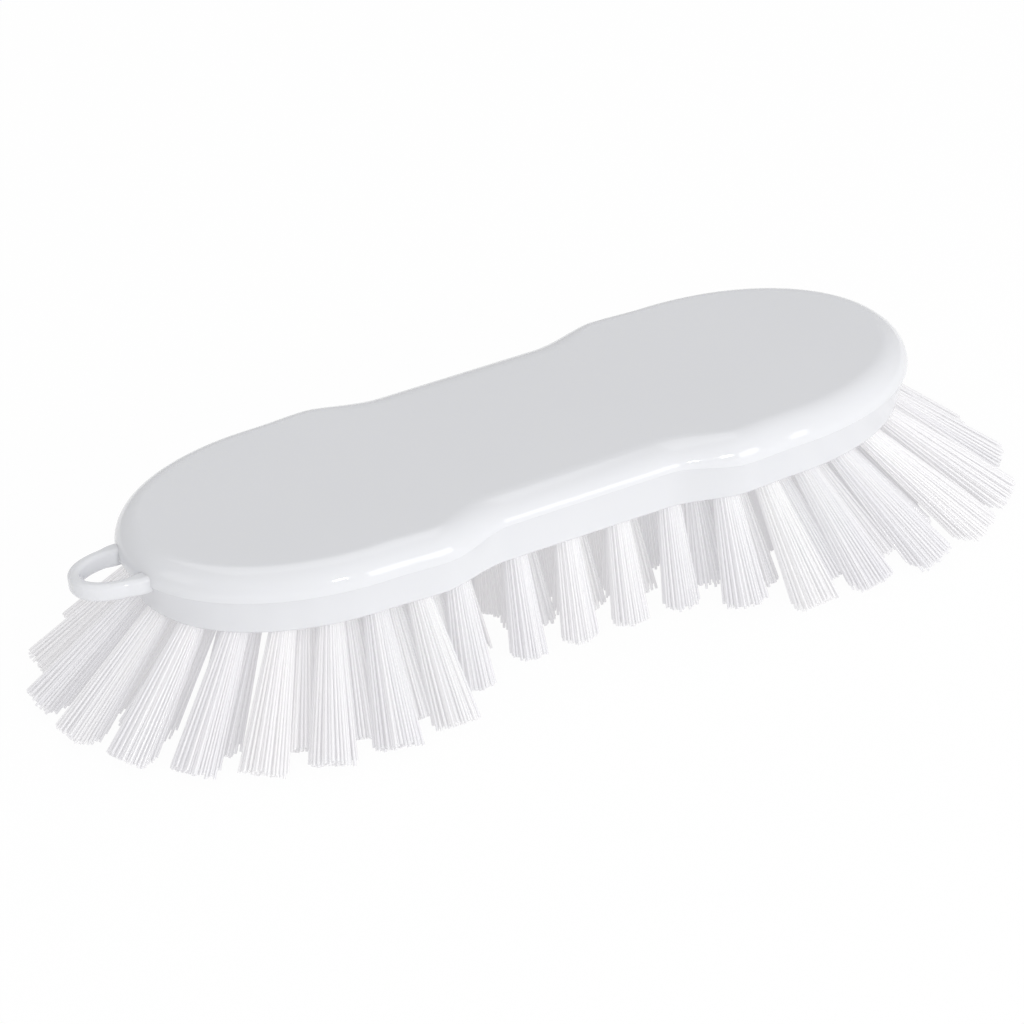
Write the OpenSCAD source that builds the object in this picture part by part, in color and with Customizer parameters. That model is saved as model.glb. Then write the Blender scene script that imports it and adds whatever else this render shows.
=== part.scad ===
// Double-wing scrub brush. A moulded block with a hanging loop is drilled from below on
// splayed axes. Filament tufts are folded round flat wire anchors in the holes, and
// their tips are trimmed to one plane.
// X runs along the block with the loop at the low end, and Z is up. The origin lies under
// the middle of the block, on the plane of the trimmed tips that the brush stands on.

/* [Block outline] */
// Length of the block without its hanging loop
block_length = 190; // [184:1:204]
// Width across the four shoulders, where the block is widest
shoulder_width = 74.2; // [73.4:0.1:78]
// Width across the middle of each wing
wing_width = 72.8; // [70:0.1:73.4]
// Width across the waist, where the fingers hold the block
waist_width = 65.7; // [63:0.1:70]
// Length of the straight part of the waist
waist_length = 39; // [30:1:44]
// Distance between the shoulders along the block
shoulder_span = 74; // [68:1:82]
// Length of each rounded end
end_length = 45; // [41:0.5:48]
// Fullness of the rounded ends, where 2 is an ellipse
end_fullness = 2.07; // [2:0.01:2.3]

/* [Block section] */
// Thickness of the block from its underside to its top face
block_height = 15.1; // [14:0.1:20]
// Height of the parting line over the underside, on the wings
parting_height = 8.8; // [7.5:0.1:9.4]
// How much higher the parting line runs through the waist
grip_rise = 1.3; // [0:0.1:1.6]
// Step of the lower wall behind the parting line
parting_step = 0.2; // [0.1:0.05:0.4]
// How far the lower wall leans in from the parting line to the underside
underside_inset = 2.7; // [1:0.1:3.2]
// Radius of the edge round the underside
lower_round = 0.8; // [0.4:0.1:1.2]
// Radius of the rounded top edge on the wings
top_round = 5.8; // [3:0.1:7]
// Width of the rounded top edge in the waist, under the fingers
grip_round = 7.6; // [4:0.1:9]

/* [Hanging loop] */
// How far the loop stands out from the end of the block
loop_reach = 13; // [11:0.5:18]
// Width of the loop over its two legs
loop_width = 17.6; // [15:0.1:22]
// Width of the bar of the loop, seen from above
loop_bar_width = 2.7; // [2:0.1:3.4]
// Height of the bar of the loop
loop_bar_height = 4; // [3:0.1:5]
// Radius of the bar's long edges
loop_edge_round = 1; // [0.5:0.05:1.3]
// Height of the middle of the loop over the parting line
loop_rise = 0.4; // [0:0.1:1]
// How much wider each leg is where it grows out of the block
loop_root_flare = 1.2; // [0:0.1:2]
// Length of leg over which it widens
loop_flare_length = 3; // [2:0.1:4]
// Fullness of the loop's bend, where 2 is an ellipse
loop_fullness = 2.2; // [2:0.1:2.6]

/* [Tuft rows] */
// Distance of the outer row of holes from the parting line
outer_row_inset = 7.7; // [7:0.1:9]
// Gap between the outer and the second row on the wings
second_row_gap = 7; // [6.6:0.1:7.3]
// Gap between the outer and the second row in the waist
second_row_waist_gap = 12; // [10:0.1:12.5]
// Gap between the outer and the second row round the ends of the block
second_row_end_gap = 9.5; // [9.2:0.1:10]
// Distance from the middle of the block at which the second row starts to draw in
end_gap_start = 62; // [58:1:64]
// Gap between the second and the inner row on the wings
inner_row_gap = 9.6; // [9.3:0.1:10]
// Gap between the second and the inner row in the waist
inner_row_waist_gap = 7.9; // [7.4:0.1:8.6]
// Tufts of the outer row along each side of the waist
waist_tufts = 5; // [3:1:5]
// Distance between those tufts
waist_pitch = 12.7; // [11:0.1:13]
// How far the middle one stands from the middle of the waist
waist_shift = 9.7; // [8:0.1:11]
// Wider gap between the tufts of a wing and those of the waist that follow them
waist_gap = 16.3; // [12:0.1:17]
// Tufts of the outer row round each wing
wing_tufts = 14; // [10:1:14]
// Tufts of the second row in the gaps along one side of a wing
side_tufts = 4; // [2:1:4]
// Tufts in the inner row
inner_tufts = 24; // [18:2:24]
// How far the inner row is turned past the middle of the waist
inner_row_shift = 0; // [0:0.1:3]
// Tufts in a line along the middle of each wing
centre_tufts = 3; // [1:1:3]
// Distance between the tufts in the middle of a wing
centre_pitch = 12; // [9:0.5:12.5]

/* [Tufts and holes] */
// Height of the underside over the trimmed tips
filament_drop = 26; // [22:0.5:34]
// Diameter of a tuft hole
hole_diameter = 5.4; // [5:0.1:5.8]
// Depth of a tuft hole along its own axis
hole_depth = 7; // [6:0.1:8]
// Gap between the folded filaments and the wall of their hole
root_clearance = 0.1; // [0.05:0.01:0.2]
// Diameter of an outer tuft at its tips on the wings
wing_tip_diameter = 9; // [7:0.1:9]
// Diameter of an outer tuft at its tips in the waist
waist_tip_diameter = 7.2; // [6:0.1:8]
// Diameter of a tuft of the second row at its tips
second_tip_diameter = 7; // [6:0.1:7.5]
// Diameter of an inner tuft at its tips
inner_tip_diameter = 7; // [6:0.1:8]
// Lean of the outer tufts at the ends of the block
end_splay = 42; // [30:1:44]
// Lean of the outer tufts at the sides of the wings
side_splay = 35; // [20:1:38]
// Lean of the outer tufts in the waist
waist_splay = 7; // [0:1:12]
// Distance from the middle of the block at which tufts start to lean endwards
fan_start = 40; // [34:1:50]
// Length over which the lean grows from the waist to the wings
fan_blend = 16; // [10:1:18]
// Length by which the second row starts to lean further out than the outer row
second_lean_delay = 3.4; // [3:0.1:4]
// Lean of the second row as a share of the outer row's
second_splay_share = 0.95; // [0.7:0.01:1]
// The same share round the ends of the block
second_end_splay_share = 1.05; // [0.95:0.01:1.06]
// Further reach of the outer tips at two opposite corners, right front and left back
corner_reach = 5.5; // [0:0.5:6]
// Further lean towards the sides at the same two corners, as a share
corner_spread = 0.25; // [0:0.01:0.25]
// Width across Y over which a corner passes into the rest of the end
corner_blend = 36; // [32:1:48]
// Lean of the inner tufts as a share of the outer row's
inner_splay_share = 0.35; // [0.1:0.01:0.45]

/* [Anchors] */
// Thickness of the flat anchor wire
anchor_thickness = 0.45; // [0.3:0.05:0.6]
// Height of an anchor along the hole
anchor_height = 2; // [1.5:0.1:2.5]
// How far each end of an anchor bites into the wall of the hole
anchor_bite = 0.5; // [0.2:0.05:0.7]
// Thickness of the fold of filaments behind an anchor
fold_thickness = 1.2; // [0.8:0.1:1.8]

/* [Hidden] */
flank_steps = 20;
end_steps = 14;
round_steps = 6;
quarter_steps = flank_steps + end_steps;
half_steps = 2*quarter_steps;
ring_steps = 4*quarter_steps;
loop_steps = 20;
loop_corner_steps = 3;
// A tuft of the two outer rows splits into five strands, and an inner one into four.
outer_strands = 5;
inner_strands = 4;
// Share of its sector of the root that each strand keeps, as a length
strand_share = 0.74;
shell_margin = 0.3;
cut_margin = 4;
// Half the stretch of a row over which its direction is taken
slope_run = 0.5;

block_x = block_length/2;
wing_x = block_x - end_length;
shoulder_x = shoulder_span/2;
waist_x = waist_length/2;
root_radius = hole_diameter/2 - root_clearance;
anchor_length = hole_diameter + 2*anchor_bite;
inner_inset = outer_row_inset + second_row_gap + inner_row_gap;
inner_end_inset = outer_row_inset + second_row_end_gap + inner_row_gap;
inner_waist_inset = outer_row_inset + second_row_waist_gap + inner_row_waist_gap;
loop_z = filament_drop + parting_height + loop_rise;
loop_leg_y = (loop_width - loop_bar_width)/2;
loop_root = 6;

function smooth(t) = let (u = min(1, max(0, t))) u*u*(3 - 2*u);
function mix(a, b, t) = a + (b - a)*t;
// 1 through the waist and 0 on the wings
function grip_share(x) = 1 - smooth((abs(x) - waist_x)/(shoulder_x - waist_x));

// Half width of a wing outline between its rounded ends
function flank_y(x, wing, shoulder, waist) =
    abs(x) < shoulder_x
        ? mix(shoulder, waist, grip_share(x))
        : mix(shoulder, wing, smooth((abs(x) - shoulder_x)/(wing_x - shoulder_x)));

// A quarter of a wing outline, from the middle of the waist to the tip of the end
function quarter(tip, wing, shoulder, waist) = concat(
    [for (i = [0:flank_steps - 1])
        let (x = wing_x*i/flank_steps)
        [x, flank_y(x, wing, shoulder, waist)]],
    [for (i = [0:end_steps])
        let (a = 90*(1 - i/end_steps))
        [wing_x + (tip - wing_x)*pow(cos(a), 2/end_fullness), wing*pow(sin(a), 2/end_fullness)]]);

// The whole outline, anticlockwise from the middle of the near side
function outline(tip, wing, shoulder, waist) =
    let (q = quarter(tip, wing, shoulder, waist), m = quarter_steps)
    concat(
        [for (i = [0:m - 1]) [q[i].x, -q[i].y]],
        [for (i = [m:-1:1]) [q[i].x, q[i].y]],
        [for (i = [0:m - 1]) [-q[i].x, q[i].y]],
        [for (i = [m:-1:1]) [-q[i].x, -q[i].y]]);

function outward(p, i) =
    let (n = len(p), d = p[(i + 1)%n] - p[(i + n - 1)%n]) [d.y, -d.x]/norm(d);

// The block's section at an outline point: [inset from the parting line, height]
function section(x) =
    let (
        grip = grip_share(x),
        parting = parting_height + grip_rise*grip,
        round_w = mix(top_round, grip_round, grip),
        round_h = min(top_round, block_height - parting - shell_margin))
    concat(
        [[underside_inset + lower_round, 0],
            [underside_inset + lower_round*(1 - sin(45)), lower_round*(1 - cos(45))],
            [underside_inset, lower_round],
            [parting_step, parting],
            [0, parting]],
        [for (i = [0:round_steps])
            let (a = 90*i/round_steps)
            [round_w*(1 - cos(a)), block_height - round_h*(1 - sin(a))]]);

// Triangles that close a ring of the outline, between its near and far side
function cap(first, up) =
    let (
        quads = concat(
            [for (i = [0:quarter_steps - 1]) [i, i + 1, half_steps - i - 1, half_steps - i]],
            [for (i = [0:quarter_steps - 1])
                [half_steps + i, half_steps + i + 1, ring_steps - i - 1, (ring_steps - i)%ring_steps]]))
    [for (q = quads, t = [[0, 1, 2], [0, 2, 3]])
        let (f = [for (k = t) first + q[k]])
        if (f[0] != f[1] && f[1] != f[2] && f[0] != f[2]) up ? [f[2], f[1], f[0]] : f];

// Triangles between rings of n points each, stacked from the first to the last
function skin(rings, n) =
    [for (r = [0:rings - 2], i = [0:n - 1], t = [0, 1])
        let (a = r*n + i, b = r*n + (i + 1)%n)
        t == 0 ? [a, a + n, b + n] : [a, b + n, b]];

module block_shell() {
    parting_outline = outline(block_x, wing_width/2, shoulder_width/2, waist_width/2);
    sections = [for (p = parting_outline) section(p.x)];
    rings = len(sections[0]);
    points = [for (r = [0:rings - 1], i = [0:ring_steps - 1])
        let (p = parting_outline[i] - outward(parting_outline, i)*sections[i][r][0])
        [p.x, p.y, filament_drop + sections[i][r][1]]];
    top = (rings - 1)*ring_steps;
    polyhedron(points, concat(cap(0, false), skin(rings, ring_steps), cap(top, true)));
}

// The loop's middle line: a leg out of the block, round the end and back
function loop_path() =
    let (a = loop_reach - loop_bar_width/2)
    concat(
        [[loop_root - block_x, -loop_leg_y]],
        [for (i = [0:loop_steps])
            let (t = 180*i/loop_steps - 90, power = 2/loop_fullness)
            [-block_x - a*pow(cos(t), power), loop_leg_y*sign(t)*pow(abs(sin(t)), power)]],
        [[loop_root - block_x, loop_leg_y]]);

function loop_section(width, height, round) =
    [for (c = [0:3], k = [0:loop_corner_steps - 1])
        let (
            a = 90*c + 90*k/(loop_corner_steps - 1),
            sx = (c == 0 || c == 3) ? 1 : -1,
            sy = c < 2 ? 1 : -1)
        [sx*(width/2 - round) + round*cos(a), sy*(height/2 - round) + round*sin(a)]];

module hanging_loop() {
    path = loop_path();
    n = len(path);
    s = 4*loop_corner_steps;
    points = [for (i = [0:n - 1])
        let (
            d = path[min(i + 1, n - 1)] - path[max(i - 1, 0)],
            side = [-d.y, d.x]/norm(d),
            root = smooth(1 - abs(path[i].x + block_x)/loop_flare_length),
            width = loop_bar_width + loop_root_flare*(i == 0 || i == n - 1 ? 1 : root))
        each [for (q = loop_section(width, loop_bar_height, loop_edge_round))
            [path[i].x + side.x*q.x, path[i].y + side.y*q.x, loop_z + q.y]]];
    ends = concat(
        [for (k = [1:s - 2]) [0, k, k + 1]],
        [for (k = [1:s - 2]) [for (c = [0, k + 1, k]) (n - 1)*s + c]]);
    polyhedron(points, concat(skin(n, s), ends));
}

// A line that the tufts of a row follow
function row_line(inset, end_inset, waist_inset) = outline(
    block_x - end_inset, wing_width/2 - inset, shoulder_width/2 - inset, waist_width/2 - waist_inset);

// A line with its running length: [once round, running length to X, running length to Y]
function measured(p) =
    let (
        n = len(p),
        steps = [for (i = [0:n - 1]) norm(p[(i + 1)%n] - p[i])],
        run = [for (i = 0, s = 0; i <= n; s = s + steps[min(i, n - 1)], i = i + 1) s])
    [run[n], [for (i = [0:n]) [run[i], p[i%n].x]], [for (i = [0:n]) [run[i], p[i%n].y]]];

// The point of a measured line at running length s
function along(line, s) =
    let (r = s - line[0]*floor(s/line[0])) [lookup(r, line[1]), lookup(r, line[2])];

outer_line = measured(row_line(outer_row_inset, outer_row_inset, outer_row_inset));
inner_line = measured(row_line(inner_inset, inner_end_inset, inner_waist_inset));

// Running lengths at which the tufts of the outer row stand, for one waist side and one wing
half_run = outer_line[0]/2;
waist_first = waist_shift - waist_pitch*(waist_tufts - 1)/2;
waist_last = waist_first + waist_pitch*(waist_tufts - 1);
wing_pitch = (half_run + waist_first - waist_gap - waist_last)/wing_tufts;
half_places = concat(
    [for (i = [0:waist_tufts - 1]) waist_first + waist_pitch*i],
    [for (i = [1:wing_tufts]) waist_last + wing_pitch*i]);

// The second row stands in the middle of each gap, but has two tufts less round each end
half_gaps = [for (i = [0:len(half_places) - 1])
    (half_places[i] + (i == len(half_places) - 1 ? half_run + waist_first : half_places[i + 1]))/2];
end_first = waist_tufts - 1 + side_tufts;
end_last = len(half_gaps) - 1 - side_tufts;
end_tufts = end_last - end_first - 2;
second_half_places = concat(
    [for (i = [0:end_first - 1]) half_gaps[i]],
    [for (i = [1:end_tufts]) mix(half_gaps[end_first - 1], half_gaps[end_last], i/(end_tufts + 1))],
    [for (i = [end_last:len(half_gaps) - 1]) half_gaps[i]]);

// How far a tuft's tips lie outside its mouth, for a point of the line that it follows
function side_lean(x) =
    filament_drop*mix(tan(waist_splay), tan(side_splay), smooth((abs(x) - shoulder_x)/fan_blend + 0.5));
function end_lean(x, tip) =
    sign(x)*filament_drop*tan(end_splay)*max(0, abs(x) - fan_start)/(tip - fan_start);
function lean(p, inset, end_inset, waist_inset, delay = 0) = [
    end_lean(p.x, block_x - end_inset),
    side_lean(abs(p.x) - delay)*p.y
        /(flank_y(min(abs(p.x), wing_x), wing_width/2, shoulder_width/2, waist_width/2)
            - mix(inset, waist_inset, grip_share(p.x)))];
// A tuft of the second row starts to lean after the outer tufts on both sides of it
function outer_lean(p, delay = 0) = lean(p, outer_row_inset, outer_row_inset, outer_row_inset, delay);
function corner(p) =
    smooth((abs(p.x) - wing_x)/(2*fan_blend))*smooth(0.5 - sign(p.x)*p.y/corner_blend);
function corner_lean(p) = let (l = outer_lean(p), c = corner(p))
    [l.x + sign(p.x)*corner_reach*c, l.y*(1 + corner_spread*c)];

function end_share(x) = smooth((abs(x) - end_gap_start)/fan_blend);
function second_gap(x) = mix(
    mix(second_row_gap, second_row_end_gap, end_share(x)), second_row_waist_gap, grip_share(x));
function second_share(x) = mix(second_splay_share, second_end_splay_share, end_share(x));

// A tuft is [x, y, lean along X, lean along Y, tip diameter, strands]
outer_row = [for (turn = [0, half_run], s = half_places)
    let (p = along(outer_line, s + turn))
    concat(p, corner_lean(p), mix(wing_tip_diameter, waist_tip_diameter, grip_share(p.x)),
        outer_strands)];
second_row = [for (turn = [0, half_run], s = second_half_places)
    let (
        p = along(outer_line, s + turn),
        d = along(outer_line, s + turn + slope_run) - along(outer_line, s + turn - slope_run),
        q = p - [d.y, -d.x]/norm(d)*second_gap(p.x))
    concat(q, outer_lean(p, second_lean_delay)*second_share(p.x), second_tip_diameter, outer_strands)];
inner_row = [for (i = [0:inner_tufts - 1])
    let (p = along(inner_line, inner_line[0]*i/inner_tufts + inner_row_shift))
    concat(p, lean(p, inner_inset, inner_end_inset, inner_waist_inset)*inner_splay_share,
        inner_tip_diameter, inner_strands)];
// The middle tufts run in from the inner row at the end of each wing
centre_row = [for (side = [-1, 1], i = [0:centre_tufts - 1])
    let (tip = block_x - inner_end_inset, x = side*(tip - centre_pitch*(i + 1)))
    [x, 0, end_lean(x, tip)*inner_splay_share, 0, inner_tip_diameter, inner_strands]];

function tilt(t) = atan2(norm([t[2], t[3]]), filament_drop);
function heading(t) = atan2(t[3], t[2]);

// Carries its children from a tuft's own frame, mouth at the origin and hole upwards
module seat(t) {
    translate([t.x, t.y, filament_drop]) rotate([0, -tilt(t), heading(t)]) children();
}

module anchor_wire(t, length = anchor_length) {
    seat(t) translate([-length/2, -anchor_thickness/2, hole_depth - fold_thickness - anchor_height])
        cube([length, anchor_thickness, anchor_height]);
}

module hole(t) {
    seat(t) translate([0, 0, -cut_margin])
        cylinder(d = hole_diameter, h = hole_depth + cut_margin, $fn = 48);
}

// A point of a tuft's own frame in the brush's frame
function placed(t, p) =
    let (
        b = tilt(t),
        h = heading(t),
        u = p.x*cos(b) - p.z*sin(b))
    [t.x + u*cos(h) - p.y*sin(h), t.y + u*sin(h) + p.y*cos(h), filament_drop + p.x*sin(b) + p.z*cos(b)];

// Where the filament that leaves the root at p meets the plane of the trimmed tips
function trimmed(t, p) =
    let (
        b = tilt(t),
        spread = (t[4]/2/root_radius - 1)*cos(b)/filament_drop,
        run = (filament_drop + p.x*sin(b))/(cos(b) - p.x*spread*sin(b)),
        q = placed(t, [p.x*(1 + spread*run), p.y*(1 + spread*run), -run]))
    [q.x, q.y, 0];

// A folded tuft: its root fills the hole and splits into three-sided strands
module tuft_form(t) {
    n = t[5];
    rim = [for (k = [0:n - 1]) root_radius*[cos(360*k/n), sin(360*k/n)]];
    strands = [for (k = [0:n - 1])
        let (corners = [[0, 0], rim[k], rim[(k + 1)%n]], middle = (corners[1] + corners[2])/3)
        [for (c = corners) let (p = mix(middle, c, strand_share)) [p.x, p.y, 0]]];
    // Points: root centre, lower rim, upper rim, then six for each strand
    points = concat(
        [placed(t, [0, 0, 0])],
        [for (r = rim) placed(t, [r.x, r.y, 0])],
        [for (r = rim) placed(t, [r.x, r.y, hole_depth])],
        [for (s = strands, p = s) placed(t, p)],
        [for (s = strands, p = s) trimmed(t, p)]);
    low = 1;
    high = 1 + n;
    foot = 1 + 2*n;
    tip = foot + 3*n;
    faces = concat(
        [for (k = [1:n - 2]) [high, high + k + 1, high + k]],
        [for (k = [0:n - 1])
            let (j = (k + 1)%n)
            each [[low + k, high + k, high + j], [low + k, high + j, low + j]]],
        [for (k = [0:n - 1])
            let (outer = [0, low + k, low + (k + 1)%n], f = foot + 3*k, e = tip + 3*k)
            each concat(
                [for (c = [0:2]) let (d = (c + 1)%3)
                    each [[outer[c], outer[d], f + d], [outer[c], f + d, f + c],
                        [f + c, f + d, e + d], [f + c, e + d, e + c]]],
                [[e, e + 1, e + 2]])]);
    polyhedron(points, faces);
}

module tuft(t) {
    color([0.93, 0.94, 0.96])
        difference() {
            tuft_form(t);
            anchor_wire(t);
        }
}

module block() {
    color([0.96, 0.96, 0.97])
        difference() {
            union() {
                block_shell();
                hanging_loop();
            }
            for (t = all_tufts) hole(t);
            for (t = all_tufts) anchor_wire(t);
        }
}

module anchors(tufts) {
    color([0.72, 0.73, 0.75]) for (t = tufts) anchor_wire(t);
}

module tufts(group) {
    for (t = group) tuft(t);
}

function in_zone(t, zone) =
    zone == "waist" ? abs(t.x) <= shoulder_x
        : zone == "left_wing" ? t.x < -shoulder_x
        : t.x > shoulder_x;
function zone_of(group, zone) = [for (t = group) if (in_zone(t, zone)) t];
function outer_name(i) = str("outer_tuft_", i < 9 ? "0" : "", i + 1);

all_tufts = concat(outer_row, second_row, inner_row, centre_row);
ZONES = ["left_wing", "waist", "right_wing"];

block();
for (i = [0:len(outer_row) - 1])
    tuft(outer_row[i]);
for (z = ZONES) {
    tufts(zone_of(second_row, z));
    tufts(zone_of(inner_row, z));
}
/* centre_tufts_left_wing */ tufts([for (t = centre_row) if (t.x < 0) t]);
/* centre_tufts_right_wing */ tufts([for (t = centre_row) if (t.x > 0) t]);
anchors(outer_row);  // outer_row_anchors
anchors(second_row);  // second_row_anchors
anchors(inner_row);  // inner_row_anchors
anchors(centre_row);  // centre_anchors
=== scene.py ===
"""Looks of a double-wing scrub brush, dressed around its packed construction.

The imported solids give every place: the block's box sets the size of the fine block, and
the root of each tuft solid gives the mouth, the lean and the spread of its filaments.
"""

from __future__ import annotations

import logging
import math
from dataclasses import dataclass, field
from enum import Enum, IntEnum

import bmesh
import bpy
import numpy as np
from mathutils import Matrix, Vector


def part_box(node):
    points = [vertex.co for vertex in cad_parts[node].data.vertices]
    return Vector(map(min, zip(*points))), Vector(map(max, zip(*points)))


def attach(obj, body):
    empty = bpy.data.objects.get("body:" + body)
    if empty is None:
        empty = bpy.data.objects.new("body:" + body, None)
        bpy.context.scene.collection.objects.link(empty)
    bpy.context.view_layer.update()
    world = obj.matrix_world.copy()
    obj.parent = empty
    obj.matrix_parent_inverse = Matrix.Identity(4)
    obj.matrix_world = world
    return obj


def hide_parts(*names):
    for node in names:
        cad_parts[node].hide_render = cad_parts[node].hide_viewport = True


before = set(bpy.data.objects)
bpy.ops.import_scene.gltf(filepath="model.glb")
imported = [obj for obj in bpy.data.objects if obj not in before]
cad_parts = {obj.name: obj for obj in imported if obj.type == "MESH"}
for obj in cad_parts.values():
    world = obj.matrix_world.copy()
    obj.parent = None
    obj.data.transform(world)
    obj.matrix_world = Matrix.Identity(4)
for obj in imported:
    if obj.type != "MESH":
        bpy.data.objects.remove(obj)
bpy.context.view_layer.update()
LOG = logging.getLogger("scrub_brush")
MM = 0.001
BODY = "root"
Color = tuple[float, float, float, float]
WHITE: Color = (1.0, 1.0, 1.0, 1.0)
# Way across the brush, which no tuft runs along
CROSSWAYS = (0.0, 1.0, 0.0)


class Slot(Enum):
    """Material slots of the record."""

    BLOCK = "block"
    FILAMENT = "filament"
    ANCHOR = "anchor_wire"


class Row(Enum):
    """The four rows of tufts, by the start of their nodes' names."""

    OUTER = "outer_tuft_"
    SECOND = "second_row_tufts_"
    INNER = "inner_row_tufts_"
    CENTRE = "centre_tufts_"


class Draw(IntEnum):
    """Seed shifts of the random numbers that each filament draws."""

    STRAY_SIDE = 1
    STRAY_ACROSS = 2
    TRIM = 3
    BOW_SIDE = 4
    BOW_ACROSS = 5
    TONE = 6


def smooth(t: np.ndarray | float) -> np.ndarray | float:
    """Returns an eased share that runs from 0 to 1 with level ends."""
    u = np.clip(t, 0.0, 1.0)
    return u * u * (3.0 - 2.0 * u)


def mix(a: float, b: float, t: np.ndarray | float) -> np.ndarray | float:
    """Returns the value a share t of the way from a to b."""
    return a + (b - a) * t


def link_mesh(name: str, mesh: bpy.types.Mesh) -> bpy.types.Object:
    """Puts a mesh into the scene as a piece at the origin.

    Args:
        name: Name of the piece.
        mesh: Its mesh, in metres in the shared frame.

    Returns:
        The new object.
    """
    piece = bpy.data.objects.new(name, mesh)
    bpy.context.scene.collection.objects.link(piece)
    return piece


def mesh_from(name: str, points: np.ndarray, faces: list[tuple[int, ...]]) -> bpy.types.Mesh:
    """Makes a mesh and turns its faces outwards.

    Args:
        name: Name of the mesh.
        points: Its vertices, one row each.
        faces: Corners of each face.

    Returns:
        The new mesh.
    """
    mesh = bpy.data.meshes.new(name)
    mesh.from_pydata([tuple(p) for p in points], [], faces)
    work = bmesh.new()
    work.from_mesh(mesh)
    bmesh.ops.recalc_face_normals(work, faces=work.faces)
    work.to_mesh(mesh)
    work.free()
    return mesh


def ring_faces(rings: int, around: int) -> list[tuple[int, ...]]:
    """Joins closed rings of points, stacked one after another.

    Args:
        rings: Number of rings.
        around: Points in each ring.

    Returns:
        The quads between them.
    """
    faces = []
    for low in range(0, (rings - 1) * around, around):
        high = low + around
        for i in range(around):
            j = (i + 1) % around
            faces.append((low + i, low + j, high + j, high + i))
    return faces


def baked(piece: bpy.types.Object) -> None:
    """Turns a piece's modifiers into its plain mesh and removes them.

    Args:
        piece: The piece, which keeps its name.
    """
    graph = bpy.context.evaluated_depsgraph_get()
    mesh = bpy.data.meshes.new_from_object(piece.evaluated_get(graph), depsgraph=graph)
    piece.modifiers.clear()
    piece.data = mesh


def crisp(mesh: bpy.types.Mesh, degrees: float) -> None:
    """Shades a mesh smooth, with a hard edge where it turns by more than the angle."""
    mesh.shade_smooth()
    mesh.set_sharp_from_angle(angle=math.radians(degrees))


class NodeTree:
    """Small helper that adds nodes and links to a shader or geometry tree."""

    # The Mix node has a pair of inputs and an output for each data type
    MIX_COLOR_INPUTS = (6, 7)
    MIX_COLOR_OUTPUT = 2

    def __init__(self, tree: bpy.types.NodeTree) -> None:
        """Keeps the tree that the nodes go into."""
        self.tree = tree

    def add(self, kind: str, inputs: dict | None = None, **settings: object) -> bpy.types.Node:
        """Adds a node.

        Args:
            kind: Type name of the node.
            inputs: Value or output socket for each input, by name or index.
            settings: Properties of the node, set before its inputs.

        Returns:
            The new node.
        """
        node = self.tree.nodes.new(kind)
        for key, value in settings.items():
            setattr(node, key, value)
        for key, value in (inputs or {}).items():
            if isinstance(value, bpy.types.NodeSocket):
                self.tree.links.new(value, node.inputs[key])
            else:
                node.inputs[key].default_value = value
        return node

    def math(self, operation: str, *values: object) -> bpy.types.NodeSocket:
        """Returns the result of a Math node on the values."""
        node = self.add("ShaderNodeMath", dict(enumerate(values)), operation=operation)
        return node.outputs[0]

    def vector(self, operation: str, *values: object) -> bpy.types.NodeSocket:
        """Returns the vector result of a Vector Math node on the values."""
        node = self.add("ShaderNodeVectorMath", dict(enumerate(values)), operation=operation)
        return node.outputs["Vector"]

    def scale(self, vector: object, factor: object) -> bpy.types.NodeSocket:
        """Returns the vector times the factor."""
        node = self.add("ShaderNodeVectorMath", {0: vector, "Scale": factor}, operation="SCALE")
        return node.outputs["Vector"]

    def link(self, source: bpy.types.NodeSocket, node: bpy.types.Node, name: str) -> None:
        """Links an output to a node's input of that name."""
        self.tree.links.new(source, node.inputs[name])

    def blend(self, share: bpy.types.NodeSocket, first: Color, last: Color) -> bpy.types.NodeSocket:
        """Mixes two colours.

        Args:
            share: Share of the way from the first to the last, from 0 to 1.
            first: Colour at a share of 0.
            last: Colour at a share of 1.

        Returns:
            The mixed colour.
        """
        node = self.add("ShaderNodeMix", {"Factor": share}, data_type="RGBA")
        for key, color in zip(self.MIX_COLOR_INPUTS, (first, last)):
            node.inputs[key].default_value = color
        return node.outputs[self.MIX_COLOR_OUTPUT]

    def noise(
        self, place: bpy.types.NodeSocket, size: float, detail: float
    ) -> bpy.types.NodeSocket:
        """Returns noise of a size and a detail at a place."""
        inputs = {"Vector": place, "Scale": size, "Detail": detail}
        return self.add("ShaderNodeTexNoise", inputs).outputs["Fac"]

    def bump(
        self, height: bpy.types.NodeSocket, strength: float, depth: float
    ) -> bpy.types.NodeSocket:
        """Returns the normals of a surface that rises and falls with the height."""
        inputs = {"Height": height, "Strength": strength, "Distance": depth}
        return self.add("ShaderNodeBump", inputs).outputs["Normal"]


def new_material(name: str) -> tuple[bpy.types.Material, NodeTree, bpy.types.Node]:
    """Makes a node material.

    Args:
        name: Name of the material.

    Returns:
        The material, its tree and its principled shader.
    """
    material = bpy.data.materials.new(name)
    material.use_nodes = True
    return material, NodeTree(material.node_tree), material.node_tree.nodes["Principled BSDF"]


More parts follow.
